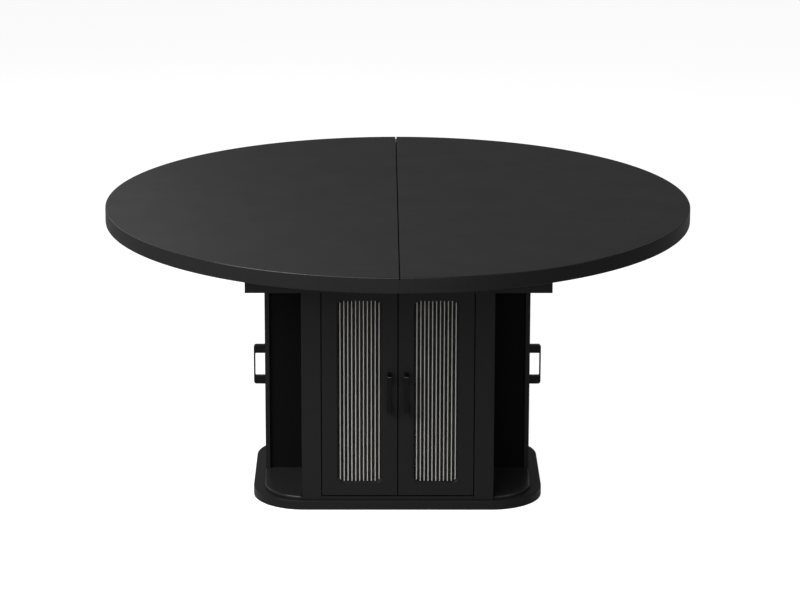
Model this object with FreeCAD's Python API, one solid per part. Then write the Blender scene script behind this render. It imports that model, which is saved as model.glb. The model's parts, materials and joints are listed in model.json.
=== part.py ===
import FreeCAD, Part
import math
import os

# A round extending dining table on a storage cabinet.
# X runs the way the table extends, Y from front (-) to rear (+), Z up.
# The origin is on the floor under the middle of the table. All lengths are in millimetres.

# The top
table_diameter = 1524.0
table_height = 762.0
top_thickness = 39.0
top_arris = 2.0
seam_gap = 0.4
seam_groove_width = 3.0
seam_groove_depth = 6.0
seam_arris = 0.8
seam_dowel_radius = 4.0
seam_dowel_reach = 14.0
seam_dowel_place_shares = (-0.78, -0.4, 0.4, 0.78)

# The stored leaf, folded in half across its middle
leaf_width = 400.0
leaf_entry_clearance = 10.0
leaf_fold_gap = 1.0
leaf_side_clearance = 6.0
leaf_top_clearance = 5.0
leaf_arris = 1.0
leaf_dowel_place_shares = (0.25, 0.75)
leaf_hinge_place_shares = (-0.35, 0.0, 0.35)
leaf_hinge_cup_radius = 6.0
leaf_hinge_cup_depth = 14.0
leaf_hinge_plate_thickness = 3.0
leaf_hinge_plate_width = 15.0

# The apron box under the top, which holds the leaf and the runners
apron_overhang = 5.0
apron_thickness = 18.0
apron_top_clearance = 1.0
box_floor_thickness = 6.0
corner_block_size = 24.0
corner_block_clearance = 2.0
box_bolt_radius = 3.0
box_bolt_head_radius = 6.0
box_bolt_head_height = 3.5
box_bolt_length = 20.0
box_bolt_place_shares = (0.72, 0.78)

# Bearers under the halves and their runners
bearer_thickness = 18.0
bearer_height = 50.0
bearer_end_gap = 10.0
bearer_setback = 3.0
bearer_notch_clearance = 2.0
runner_height = 45.0
runner_thickness = 13.0
runner_wall = 1.5
runner_fit = 0.4
runner_lip_share = 0.82

# Pinion and racks that make both halves open evenly
gear_module = 1.0
gear_teeth = 18
gear_width = 10.0
gear_pressure_angle = math.radians(20.0)
gear_backlash = 0.1
gear_hub_radius = 6.0
gear_hub_step = 1.0
gear_stud_radius = 4.0
gear_stud_head = 2.0
rack_overlap = 12.0
rack_grip = 50.0
rack_back = 3.0
rack_side_margin = 1.0
rack_pad = 1.0

# Plinth and cabinet
plinth_width = 756.0
plinth_depth = 520.0
plinth_thickness = 25.0
plinth_corner = 136.0
plinth_arris = 2.0
cabinet_width = 496.0
cabinet_setback = 8.0
cabinet_top_thickness = 18.0
cabinet_floor_thickness = 9.0
side_thickness = 18.0
pocket_wall_thickness = 12.0
post_width = 50.0
post_thickness = 18.0
post_arris = 1.0
frieze_height = 15.0
shelf_thickness = 15.0
shelf_height = 330.0
shelf_clearance = 1.0
shelf_setback = 6.0
shelf_pin_radius = 2.5
shelf_pin_reach = 8.0
shelf_pin_place_shares = (0.2, 0.8)

# Doors with a reeded pane
door_thickness = 18.0
door_gap = 3.5
door_side_gap = 2.0
door_seam = 2.2
door_arris = 1.0
door_pivot_inset = 9.0
door_pivot_setback = 6.0
door_pivot_radius = 3.0
door_pivot_depth = 12.0
door_pivot_grip = 6.0
window_stile = 42.0
window_rail = 36.5
window_corner = 12.0
window_bevel = 3.0
window_lip = 8.0
rebate_width = 5.0
rebate_fit = 0.5
pane_thickness = 4.0
reed_count = 11
reed_width = 5.0
reed_height = 2.0
reed_fit = 0.3
catch_width = 30.0
catch_height = 30.0
catch_depth = 14.0
catch_gap = 0.5
catch_offset = 4.0

# Pull handles, one pattern for the doors and the side racks
handle_height = 108.0
handle_reach = 30.0
handle_width = 12.0
handle_bar = 4.0
handle_arm = 23.0
handle_corner = 7.0
handle_inner_corner = 2.0
handle_from_seam = 22.0

# Pull-out side racks
rack_setback = 28.0
rack_cap_thickness = 12.0
rack_cap_width = 44.0
rack_cap_arris = 1.0
rack_divider_thickness = 24.0
rack_top_clearance = 4.0
rack_cabinet_gap = 2.0
rack_middle_gap = 20.0
rack_stop_clearance = 2.0
tray_setback = 29.0
tray_front_setback = 13.0
tray_thickness = 6.0
tray_corner = 115.0
tray_lift = 1.0
tray_arris = 2.5
rack_runner_height_shares = (0.14, 0.86)

# General clearances
bore_fit = 0.05
dowel_fit = 0.1
threshold_clearance = 2.0
cut_overrun = 5.0
tolerance = 0.01

# Sizes that follow from the ones above
top_radius = table_diameter / 2
top_underside = table_height - top_thickness
half_start = seam_gap / 2
leaf_half_length = top_radius / 2 - leaf_fold_gap / 4
top_travel = leaf_width / 2 + leaf_entry_clearance
apron_height = box_floor_thickness + 2 * top_thickness + leaf_fold_gap + leaf_top_clearance
apron_bottom = top_underside - apron_height
apron_top = top_underside - apron_top_clearance
box_floor_top = apron_bottom + box_floor_thickness
bearer_inner = leaf_half_length + leaf_side_clearance
bearer_outer = bearer_inner + bearer_thickness
apron_inner = bearer_outer + runner_thickness
apron_outer = apron_inner + apron_thickness
apron_end = plinth_width / 2 + apron_overhang
box_inner_end = apron_end - apron_thickness
bearer_bottom = top_underside - bearer_height
bearer_end = apron_end - bearer_setback
cabinet_side = cabinet_width / 2
cabinet_front = plinth_depth / 2 - cabinet_setback
cabinet_inner_side = cabinet_side - side_thickness
cabinet_top_bottom = apron_bottom - cabinet_top_thickness
cabinet_floor_top = plinth_thickness + cabinet_floor_thickness
post_back = cabinet_front - post_thickness
pocket_inner = rack_divider_thickness / 2 + runner_thickness
pocket_outer = pocket_inner + pocket_wall_thickness
doorway_side = cabinet_side - post_width
door_bottom = cabinet_floor_top + door_gap
door_top = cabinet_top_bottom - frieze_height - door_gap
door_outer = doorway_side - door_side_gap
door_inner = door_seam / 2
door_back = cabinet_front - door_thickness
door_middle = (door_outer + door_inner) / 2
window_middle = (door_top + door_bottom) / 2
window_width = door_outer - door_inner - 2 * window_stile
window_height = door_top - door_bottom - 2 * window_rail
tray_bottom = plinth_thickness + tray_lift
tray_top = tray_bottom + tray_thickness
tray_half_width = plinth_width / 2 - tray_setback
tray_half_depth = plinth_depth / 2 - tray_front_setback
rack_inner = cabinet_side + rack_cabinet_gap
rack_half_width = plinth_width / 2 - rack_setback
rack_cap_inner = rack_half_width - rack_cap_thickness
rack_top = apron_bottom - rack_top_clearance


def block(x, y, z):
    """A board; x, y and z are pairs of its limits in either order."""
    corner = FreeCAD.Vector(min(x), min(y), min(z))
    return Part.makeBox(max(x) - min(x), max(y) - min(y), max(z) - min(z), corner)


def rod(radius, start, end):
    """A round bar from one point to another."""
    first = FreeCAD.Vector(*start)
    along = FreeCAD.Vector(*end) - first
    return Part.makeCylinder(radius, along.Length, first, along)


def is_upright(edge):
    """True for a straight edge along Z."""
    box = edge.BoundBox
    return box.XLength < tolerance and box.YLength < tolerance


def runs_front_to_back(edge):
    """True for a straight edge along Y."""
    box = edge.BoundBox
    return box.XLength < tolerance and box.ZLength < tolerance


def lies_at_height(edge, height):
    """True for an edge that lies flat at the given height."""
    box = edge.BoundBox
    return abs(box.ZMin - height) < tolerance and abs(box.ZMax - height) < tolerance


def ease(shape, radius, chosen):
    """Rounds each edge for which chosen(edge) is true."""
    return shape.makeFillet(radius, [edge for edge in shape.Edges if chosen(edge)])


def rounded_plate(half_x, half_y, corner, z):
    """A flat plate with rounded corners, centred on the Z axis."""
    return ease(block((-half_x, half_x), (-half_y, half_y), z), corner, is_upright)


def save(name, shapes):
    """Writes one named node, which may be a group of separate solids."""
    shape = shapes[0] if len(shapes) == 1 else Part.makeCompound(shapes)
    shape.exportStep(os.path.join("parts", name + ".step"))


def side_name(x):
    return "left" if x < 0 else "right"


def face_name(y):
    return "front" if y < 0 else "rear"


def seam_dowel_places():
    return [share * top_radius for share in seam_dowel_place_shares]


def top_half(x):
    """Half of the round top; a rebate along its seam leaves a narrow shadow groove when it's closed.

    The right half has the dowel holes.
    """
    disc = Part.makeCylinder(top_radius, top_thickness, FreeCAD.Vector(0, 0, top_underside))
    for height in (table_height, top_underside):
        disc = ease(disc, top_arris, lambda e: lies_at_height(e, height))
    beyond = top_radius + cut_overrun
    other_side = block((x * half_start, -x * beyond), (-beyond, beyond), (0, table_height + cut_overrun))
    half = disc.cut(other_side)
    lip = seam_groove_width / 2
    half = half.cut(block((0, x * lip), (-beyond, beyond),
                          (table_height - seam_groove_depth, table_height + cut_overrun)))

    def on_seam(edge):
        box = edge.BoundBox
        straight = abs(box.XMin - x * lip) < tolerance and abs(box.XMax - x * lip) < tolerance
        return straight and lies_at_height(edge, table_height)

    half = ease(half, seam_arris, on_seam)
    height = top_underside + top_thickness / 2
    radius = seam_dowel_radius + (dowel_fit if x > 0 else 0)
    for y in seam_dowel_places():
        hole = rod(radius, (0, y, height), (x * (half_start + seam_dowel_reach + dowel_fit), y, height))
        half = half.cut(hole)
    return half


def seam_dowels():
    """Dowels held in the left half that enter the right half when the top closes."""
    height = top_underside + top_thickness / 2
    reach = half_start + seam_dowel_reach
    return [rod(seam_dowel_radius, (-reach, y, height), (reach, y, height)) for y in seam_dowel_places()]


def bearer(x, y):
    """A wooden bearer under one half of the top."""
    return block((x * bearer_end_gap, x * bearer_end), (y * bearer_inner, y * bearer_outer),
                 (bearer_bottom, top_underside))


def runner_pair(low, high, middle, fixed_face, moving_face):
    """A nested pair of C channels along X: the fixed one and the one that slides inside it.

    fixed_face and moving_face are the Y of the faces that they are screwed to.
    """
    inwards = 1 if moving_face > fixed_face else -1
    half = runner_height / 2
    span = (low, high)
    lip = fixed_face + inwards * runner_thickness * runner_lip_share
    fixed = block(span, (fixed_face, fixed_face + inwards * runner_wall), (middle - half, middle + half))
    moving = block(span, (moving_face, moving_face - inwards * runner_wall), (middle - half, middle + half))
    for z in (-1, 1):
        outside = middle + z * half
        inside = outside - z * (runner_wall + runner_fit)
        fixed = fixed.fuse(block(span, (fixed_face, lip), (outside, outside - z * runner_wall)))
        moving = moving.fuse(block(span, (fixed_face + inwards * (runner_wall + runner_fit), moving_face),
                                   (inside, inside - z * runner_wall)))
    return fixed.removeSplitter(), moving.removeSplitter()


def top_runners(x):
    """Fixed and moving runners of one half, front and rear."""
    middle = top_underside - bearer_height / 2
    pairs = [runner_pair(x * bearer_end_gap, x * box_inner_end, middle, y * apron_inner, y * bearer_outer)
             for y in (-1, 1)]
    return [pair[0] for pair in pairs], [pair[1] for pair in pairs]


def gear_pitch_radius():
    return gear_module * gear_teeth / 2


def gear_height():
    """The pinion's axis is where the upper rack just clears the bearers."""
    return bearer_bottom - rack_pad - rack_back - 1.25 * gear_module - gear_pitch_radius()


def gear_band():
    """Limits in Y of the racks and the pinion, under the rear bearers."""
    low = bearer_inner + rack_side_margin
    return low, low + gear_width


def sync_pinion():
    """A spur pinion with involute teeth; a gap faces straight up and straight down."""
    pitch_radius = gear_pitch_radius()
    base_radius = pitch_radius * math.cos(gear_pressure_angle)
    tip_radius = pitch_radius + gear_module
    root_radius = pitch_radius - 1.25 * gear_module
    tooth_angle = (math.pi * gear_module / 2 - gear_backlash) / pitch_radius
    involute = math.tan(gear_pressure_angle) - gear_pressure_angle
    steps = 4
    flank = [(root_radius, tooth_angle / 2 + involute)]
    for step in range(steps + 1):
        radius = base_radius + (tip_radius - base_radius) * step / steps
        pressure = math.acos(base_radius / radius)
        flank.append((radius, tooth_angle / 2 + involute - math.tan(pressure) + pressure))
    low, high = gear_band()
    points = []
    for tooth in range(gear_teeth):
        centre = 2 * math.pi * tooth / gear_teeth
        outline = [(radius, centre - angle) for radius, angle in flank]
        outline += [(radius, centre + angle) for radius, angle in reversed(flank)]
        for radius, angle in outline:
            height = gear_height() + radius * math.sin(angle)
            points.append(FreeCAD.Vector(radius * math.cos(angle), low, height))
    wheel = Part.Face(Part.makePolygon(points + points[:1])).extrude(FreeCAD.Vector(0, high - low, 0))
    hub = rod(gear_hub_radius, (0, high, gear_height()), (0, high + gear_hub_step, gear_height()))
    bore = rod(gear_stud_radius + bore_fit, (0, low - cut_overrun, gear_height()),
               (0, high + cut_overrun, gear_height()))
    return wheel.fuse(hub).cut(bore)


def sync_stud():
    """The fixed stud in the rear apron that the pinion turns on, with a head to keep it there."""
    low, high = gear_band()
    head_face = low - bore_fit
    stud = rod(gear_stud_radius, (0, apron_inner, gear_height()), (0, head_face, gear_height()))
    head_end = head_face - gear_stud_head
    head = rod(gear_hub_radius, (0, head_face, gear_height()), (0, head_end, gear_height()))
    shoulder = rod(gear_hub_radius, (0, high + gear_hub_step + bore_fit, gear_height()),
                   (0, apron_inner, gear_height()))
    return stud.fuse([head, shoulder]).removeSplitter()


def toothed_bar(low, high, first_tooth, last_tooth, way):
    """A rack along X; way is 1 for teeth that point up and -1 for teeth that point down.

    A tooth is centred on the pinion's axis, so that the rack is in mesh at rest.
    """
    pitch = math.pi * gear_module
    pitch_line = gear_height() - way * gear_pitch_radius()
    root = pitch_line - way * 1.25 * gear_module
    tip = pitch_line + way * gear_module
    half_tooth = (pitch / 2 - gear_backlash) / 2
    slope = math.tan(gear_pressure_angle)
    at_root = half_tooth + 1.25 * gear_module * slope
    at_tip = half_tooth - gear_module * slope
    back = root - way * rack_back
    outline = [(low, back), (low, root)]
    for tooth in range(math.ceil(first_tooth / pitch), math.floor(last_tooth / pitch) + 1):
        centre = tooth * pitch
        outline += [(centre - at_root, root), (centre - at_tip, tip)]
        outline += [(centre + at_tip, tip), (centre + at_root, root)]
    outline += [(high, root), (high, back)]
    band_low, band_high = gear_band()
    points = [FreeCAD.Vector(x, band_low, z) for x, z in outline]
    across = FreeCAD.Vector(0, band_high - band_low, 0)
    return Part.Face(Part.makePolygon(points + points[:1])).extrude(across)


def sync_rack(x):
    """The right half's rack runs over the pinion, the left half's rack under it.

    The upper rack is screwed straight to its bearer. The lower one hangs from a bracket that
    passes beside the upper rack.
    """
    reach = top_travel + rack_overlap
    grip_end = bearer_end_gap + rack_grip
    grip = (x * bearer_end_gap, x * grip_end)
    low, high = sorted((x * grip_end, -x * reach))
    teeth_low, teeth_high = sorted((-x * (reach - rack_back), x * (bearer_end_gap - rack_back)))
    bar = toothed_bar(low, high, teeth_low, teeth_high, -x)
    band_low, band_high = gear_band()
    if x > 0:
        pad = block(grip, (band_low, band_high), (bar.BoundBox.ZMax, bearer_bottom))
        return bar.fuse(pad).removeSplitter()
    bottom = bar.BoundBox.ZMin
    foot = block(grip, (band_low, bearer_outer), (bottom, bottom + rack_back))
    bracket = block(grip, (band_high + rack_side_margin, bearer_outer), (bottom, bearer_bottom))
    return bar.fuse([foot, bracket]).removeSplitter()


def leaf_panels():
    """The two panels of the leaf, folded face to face on the floor of the box."""
    half_width = leaf_width / 2
    panels = []
    bottom = box_floor_top
    for layer in range(2):
        top = bottom + top_thickness
        panel = block((-half_width, half_width), (-leaf_half_length, leaf_half_length), (bottom, top))
        panel = ease(panel, leaf_arris, lambda e: lies_at_height(e, top) or lies_at_height(e, bottom))
        middle = bottom + top_thickness / 2
        for share in leaf_hinge_place_shares:
            x = share * leaf_width
            cup = rod(leaf_hinge_cup_radius, (x, leaf_half_length - leaf_hinge_cup_depth, middle),
                      (x, leaf_half_length + cut_overrun, middle))
            panel = panel.cut(cup)
        for y in leaf_dowel_ys():
            panel = panel.cut(rod(seam_dowel_radius, (half_width - seam_dowel_reach, y, middle),
                                  (half_width + cut_overrun, y, middle)))
            panel = panel.cut(rod(seam_dowel_radius + dowel_fit, (-half_width - cut_overrun, y, middle),
                                  (-half_width + seam_dowel_reach + dowel_fit, y, middle)))
        panels.append(panel)
        bottom = top + leaf_fold_gap
    return panels


def leaf_dowel_ys():
    return [(2 * share - 1) * leaf_half_length for share in leaf_dowel_place_shares]


def leaf_layer_middles():
    first = box_floor_top + top_thickness / 2
    return first, first + top_thickness + leaf_fold_gap


def leaf_hinges():
    """Folded hinges: two cups in the panels' edges and a link plate across them."""
    hinges = []
    face = leaf_half_length
    lower, upper = leaf_layer_middles()
    reach = leaf_hinge_cup_radius
    for share in leaf_hinge_place_shares:
        x = share * leaf_width
        half = leaf_hinge_plate_width / 2
        hinge = block((x - half, x + half), (face, face + leaf_hinge_plate_thickness),
                      (lower - reach, upper + reach))
        for middle in (lower, upper):
            cup_bottom = face - leaf_hinge_cup_depth
            hinge = hinge.fuse(rod(leaf_hinge_cup_radius, (x, cup_bottom, middle), (x, face, middle)))
        hinges.append(hinge)
    return hinges


def leaf_dowels():
    """Dowels along the leaf's right edge."""
    start = leaf_width / 2 - seam_dowel_reach
    end = leaf_width / 2 + seam_dowel_reach
    return [rod(seam_dowel_radius, (start, y, middle), (end, y, middle))
            for middle in leaf_layer_middles() for y in leaf_dowel_ys()]


def apron_rail(y):
    """Front or rear rail of the box; the rear one carries the pinion's stud."""
    return block((-apron_end, apron_end), (y * apron_inner, y * apron_outer), (apron_bottom, apron_top))


def apron_end_rail(x):
    """End rail with a notch at each end where the bearers and runners pass."""
    rail = block((x * box_inner_end, x * apron_end), (-apron_inner, apron_inner), (apron_bottom, apron_top))
    for y in (-1, 1):
        notch = block((x * (box_inner_end - cut_overrun), x * (apron_end + cut_overrun)),
                      (y * (bearer_inner - bearer_notch_clearance), y * (apron_inner + cut_overrun)),
                      (bearer_bottom - bearer_notch_clearance, apron_top + cut_overrun))
        rail = rail.cut(notch)
    return rail


def box_bolt_places():
    across, along = box_bolt_place_shares
    return [(x * across * cabinet_side, y * along * cabinet_front) for x in (-1, 1) for y in (-1, 1)]


def box_bolts():
    """Countersunk bolts through the floor of the box into the cabinet's top."""
    bolts = []
    for x, y in box_bolt_places():
        head = rod(box_bolt_head_radius, (x, y, box_floor_top), (x, y, box_floor_top - box_bolt_head_height))
        shank = rod(box_bolt_radius, (x, y, box_floor_top), (x, y, box_floor_top - box_bolt_length))
        bolts.append(head.fuse(shank).removeSplitter())
    return bolts


def box_floor():
    """Floor of the box, which closes it from below and carries the leaf."""
    height = (apron_bottom, box_floor_top)
    floor = block((-box_inner_end, box_inner_end), (-apron_inner, apron_inner), height)
    return floor.cut(box_bolts())


def corner_blocks():
    """Glue blocks that join the aprons to the end rails."""
    blocks = []
    inner = gear_band()[1] + corner_block_clearance
    for x in (-1, 1):
        for y in (-1, 1):
            blocks.append(block((x * box_inner_end, x * (box_inner_end - corner_block_size)),
                                (y * apron_inner, y * inner),
                                (box_floor_top, bearer_bottom - bearer_notch_clearance)))
    return blocks


def plinth():
    """The rounded base board that stands on the floor."""
    board = rounded_plate(plinth_width / 2, plinth_depth / 2, plinth_corner, (0, plinth_thickness))
    return ease(board, plinth_arris, lambda e: lies_at_height(e, plinth_thickness))


def cabinet_floor():
    """Floor board that reaches forward between the posts and outward into the pocket."""
    height = (plinth_thickness, cabinet_floor_top)
    board = block((-cabinet_inner_side, cabinet_inner_side), (-post_back, post_back), height)
    board = board.fuse(block((-doorway_side, doorway_side), (-cabinet_front, cabinet_front), height))
    board = board.fuse(block((-cabinet_side, cabinet_side), (-pocket_outer, pocket_outer), height))
    return board.removeSplitter()


def cabinet_top():
    board = block((-cabinet_side, cabinet_side), (-cabinet_front, cabinet_front),
                  (cabinet_top_bottom, apron_bottom))
    return board.cut(box_bolts())


def post(x, y):
    """A corner stile beside the doors."""
    stile = block((x * doorway_side, x * cabinet_side), (y * post_back, y * cabinet_front),
                  (plinth_thickness, cabinet_top_bottom))
    return ease(stile, post_arris, lambda e: is_upright(e) and e.BoundBox.YMax * y > post_back + tolerance)


def shelf_pins():
    """Pins in the side boards under each shelf."""
    pins = []
    height = shelf_height - shelf_pin_radius
    inner = cabinet_inner_side - shelf_pin_reach
    outer = cabinet_inner_side + shelf_pin_reach
    for x in (-1, 1):
        for y in (-1, 1):
            for place in shelf_pin_ys():
                start = (x * outer, y * place, height)
                end = (x * inner, y * place, height)
                pins.append(rod(shelf_pin_radius, start, end))
    return pins


def shelf_pin_ys():
    depth = post_back - pocket_outer
    return [pocket_outer + share * depth for share in shelf_pin_place_shares]


def side_board(x, y):
    """Wall between a compartment and the open niche beside it."""
    board = block((x * cabinet_inner_side, x * cabinet_side), (y * pocket_outer, y * post_back),
                  (plinth_thickness, cabinet_top_bottom))
    return board.cut(shelf_pins())


def pocket_wall(y):
    """Back wall of a compartment, which also guides the side racks."""
    return block((-cabinet_side, cabinet_side), (y * pocket_inner, y * pocket_outer),
                 (cabinet_floor_top, cabinet_top_bottom))


def pocket_middle_wall():
    """Board across the middle of the pocket, where both racks stop as they are pushed in."""
    half = rack_middle_gap / 2 - rack_stop_clearance
    return block((-half, half), (-pocket_inner, pocket_inner), (cabinet_floor_top, cabinet_top_bottom))


def shelf(y):
    """A shelf, set back to leave room for the doors' hinged edges as they turn."""
    return block((-cabinet_inner_side + shelf_clearance, cabinet_inner_side - shelf_clearance),
                 (y * (pocket_outer + shelf_clearance), y * (post_back - shelf_setback)),
                 (shelf_height, shelf_height + shelf_thickness))


def door_pivot_y():
    """The pins stand near the doors' faces, so that the outer corners clear the posts."""
    return cabinet_front - door_pivot_setback


def pivot_pins():
    """Steel pins above and below each door."""
    pins = []
    for x in (-1, 1):
        for y in (-1, 1):
            at = (x * (door_outer - door_pivot_inset), y * door_pivot_y())
            frieze_bottom = cabinet_top_bottom - frieze_height
            lower = (cabinet_floor_top - door_pivot_grip, door_bottom + door_pivot_depth - door_gap)
            upper = (door_top - door_pivot_depth + door_gap, frieze_bottom + door_pivot_grip)
            for start, end in (lower, upper):
                pins.append(rod(door_pivot_radius, at + (start,), at + (end,)))
    return pins


def frieze(y):
    """Short rail above the doors."""
    return block((-doorway_side, doorway_side), (y * post_back, y * cabinet_front),
                 (cabinet_top_bottom - frieze_height, cabinet_top_bottom))


def window_prism(x, y, grow, deep):
    """A block with the window's rounded outline, grown by a margin; deep gives its limits in Y."""
    half_width = window_width / 2 + grow
    half_height = window_height / 2 + grow
    prism = block((x * door_middle - half_width, x * door_middle + half_width), [y * d for d in deep],
                  (window_middle - half_height, window_middle + half_height))
    return ease(prism, window_corner + grow, runs_front_to_back)


def door(x, y):
    """A door with a bevelled, round-cornered window and a rebate behind it for the pane."""
    height = (door_bottom, door_top)
    leaf = block((x * door_inner, x * door_outer), (y * door_back, y * cabinet_front), height)
    leaf = ease(leaf, door_arris, lambda e: is_upright(e) and e.BoundBox.YMax * y > door_back + tolerance)
    beyond = (door_back - cut_overrun, cabinet_front + cut_overrun)
    leaf = leaf.cut(window_prism(x, y, 0, beyond))

    def on_window_rim(edge):
        box = edge.BoundBox
        on_face = box.YLength < tolerance and abs(box.YMin - y * cabinet_front) < tolerance
        in_height = abs(box.ZMin - window_middle) <= window_height / 2 + tolerance
        return on_face and in_height and abs(box.Center.x - x * door_middle) <= window_width / 2 + tolerance

    leaf = leaf.makeChamfer(window_bevel, [edge for edge in leaf.Edges if on_window_rim(edge)])
    leaf = leaf.cut(window_prism(x, y, rebate_width, (door_back - cut_overrun, cabinet_front - window_lip)))
    at = (x * (door_outer - door_pivot_inset), y * door_pivot_y())
    for start, end in ((door_bottom - cut_overrun, door_bottom + door_pivot_depth),
                       (door_top - door_pivot_depth, door_top + cut_overrun)):
        leaf = leaf.cut(rod(door_pivot_radius + bore_fit, at + (start,), at + (end,)))
    return leaf


def pane(x, y):
    """A glass pane bonded in the rebate, with upright reeds on its outer face."""
    front = cabinet_front - window_lip
    glass = window_prism(x, y, rebate_width - rebate_fit, (front - pane_thickness, front))
    pitch = (window_width - 2 * reed_fit) / reed_count
    radius = (reed_width ** 2 / 4 + reed_height ** 2) / (2 * reed_height)
    depth = front + reed_height - radius
    reeds = []
    for number in range(reed_count):
        centre = x * door_middle + (number - (reed_count - 1) / 2) * pitch
        reeds.append(rod(radius, (centre, y * depth, door_bottom), (centre, y * depth, door_top)))
    ridges = reeds[0].fuse(reeds[1:])
    depths = (front - pane_thickness / 2, front + 2 * reed_height)
    ridges = ridges.common(window_prism(x, y, -reed_fit, depths))
    return glass.fuse(ridges).removeSplitter()


def catch(x, y):
    """A magnetic catch behind a door, near the seam."""
    return block((x * catch_offset, x * (catch_offset + catch_width)),
                 (y * (door_back - catch_gap), y * (door_back - catch_gap - catch_depth)),
                 (cabinet_top_bottom - catch_height, cabinet_top_bottom))


def handle(base, towards):
    """A D-shaped pull that stands out of the point base; towards is the way it points, in degrees."""
    half = handle_height / 2
    half_width = handle_width / 2
    body = block((0, handle_reach), (-half_width, half_width), (-half, half))
    body = ease(body, handle_corner, lambda e: runs_front_to_back(e) and e.BoundBox.XMin > 0)
    wider = half_width + cut_overrun
    hole = block((-cut_overrun, handle_reach - handle_bar), (-wider, wider),
                 (-half + handle_arm, half - handle_arm))
    hole = ease(hole, handle_inner_corner, lambda e: runs_front_to_back(e) and e.BoundBox.XMin > 0)
    body = body.cut(hole)
    body.rotate(FreeCAD.Vector(0, 0, 0), FreeCAD.Vector(0, 0, 1), towards)
    body.translate(FreeCAD.Vector(*base))
    return body


def door_handle(x, y):
    return handle((x * handle_from_seam, y * cabinet_front, window_middle), 90 * y)


def side_handle(x):
    return handle((x * rack_half_width, 0, window_middle), 90 - 90 * x)


def rack_tray(x):
    """Tray beside the cabinet, with the plinth's rounded corners."""
    tray = rounded_plate(tray_half_width, tray_half_depth, tray_corner, (tray_bottom, tray_top))
    inside = block((x * rack_inner, -x * (tray_half_width + cut_overrun)),
                   (-plinth_depth, plinth_depth), (0, tray_top + cut_overrun))
    tray = tray.cut(inside)

    def outer_rim(edge):
        return lies_at_height(edge, tray_top) and edge.BoundBox.Center.x * x > rack_inner + tolerance

    return ease(tray, tray_arris, outer_rim)


def rack_divider(x):
    """Upright board between the niches; its inner part slides in the pocket."""
    half = rack_divider_thickness / 2
    outer = block((x * rack_inner, x * rack_cap_inner), (-half, half), (tray_top, rack_top))
    tongue = block((x * rack_middle_gap / 2, x * rack_cap_inner), (-half, half),
                   (cabinet_floor_top + threshold_clearance, cabinet_top_bottom - threshold_clearance))
    return outer.fuse(tongue).removeSplitter()


def rack_cap(x):
    """End strip that carries the handle."""
    half = rack_cap_width / 2
    strip = block((x * rack_cap_inner, x * rack_half_width), (-half, half), (tray_top, rack_top))

    def outer_upright(edge):
        return is_upright(edge) and edge.BoundBox.XMax * x > rack_cap_inner + tolerance

    return ease(strip, rack_cap_arris, outer_upright)


def rack_runners(x):
    """Fixed and moving runners between the pocket's walls and the divider."""
    fixed, moving = [], []
    height = cabinet_top_bottom - cabinet_floor_top
    half = rack_divider_thickness / 2
    for share in rack_runner_height_shares:
        for y in (-1, 1):
            middle = cabinet_floor_top + share * height
            pair = runner_pair(x * rack_middle_gap / 2, x * cabinet_side, middle, y * pocket_inner, y * half)
            fixed.append(pair[0])
            moving.append(pair[1])
    return fixed, moving


def save_top():
    """The two halves with what slides under them."""
    fixed_runners = []
    for x in (-1, 1):
        side = side_name(x)
        save("top_half_" + side, [top_half(x)])
        save("bearers_" + side, [bearer(x, y) for y in (-1, 1)])
        fixed, moving = top_runners(x)
        fixed_runners += fixed
        save("top_rails_" + side, moving)
        save("sync_rack_" + side, [sync_rack(x)])
    save("seam_dowels", seam_dowels())
    save("top_rail_channels", fixed_runners)
    save("sync_pinion", [sync_pinion()])
    save("sync_stud", [sync_stud()])


def save_box():
    """The apron box and the folded leaf in it."""
    for y in (-1, 1):
        save("apron_" + face_name(y), [apron_rail(y)])
    save("apron_ends", [apron_end_rail(x) for x in (-1, 1)])
    save("box_floor", [box_floor()])
    save("box_bolts", box_bolts())
    save("corner_blocks", corner_blocks())
    lower, upper = leaf_panels()
    save("leaf_panel_lower", [lower])
    save("leaf_panel_upper", [upper])
    save("leaf_hinges", leaf_hinges())
    save("leaf_dowels", leaf_dowels())


def save_cabinet():
    """The cabinet between the racks and the plinth under it."""
    save("plinth", [plinth()])
    bored_by_pins = pivot_pins()
    save("cabinet_floor", [cabinet_floor().cut(bored_by_pins)])
    save("cabinet_top", [cabinet_top()])
    for x in (-1, 1):
        for y in (-1, 1):
            save("post_" + face_name(y) + "_" + side_name(x), [post(x, y)])
        save("side_boards_" + side_name(x), [side_board(x, y) for y in (-1, 1)])
    save("pocket_walls", [pocket_wall(y) for y in (-1, 1)] + [pocket_middle_wall()])
    save("shelves", [shelf(y) for y in (-1, 1)])
    save("shelf_pins", shelf_pins())
    save("friezes", [frieze(y).cut(bored_by_pins) for y in (-1, 1)])
    save("pivot_pins", bored_by_pins)
    save("door_catches", [catch(x, y) for x in (-1, 1) for y in (-1, 1)])


def save_doors():
    for x in (-1, 1):
        for y in (-1, 1):
            place = face_name(y) + "_" + side_name(x)
            save("door_" + place, [door(x, y)])
            save("pane_" + place, [pane(x, y)])
            save("handle_" + place, [door_handle(x, y)])


def save_racks():
    fixed_runners = []
    for x in (-1, 1):
        side = side_name(x)
        save("rack_tray_" + side, [rack_tray(x)])
        save("rack_divider_" + side, [rack_divider(x)])
        save("rack_cap_" + side, [rack_cap(x)])
        save("rack_handle_" + side, [side_handle(x)])
        fixed, moving = rack_runners(x)
        fixed_runners += fixed
        save("rack_rails_" + side, moving)
    save("rack_rail_channels", fixed_runners)


os.makedirs("parts", exist_ok=True)
save_top()
save_box()
save_cabinet()
save_doors()
save_racks()
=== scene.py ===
import json
import math

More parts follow.
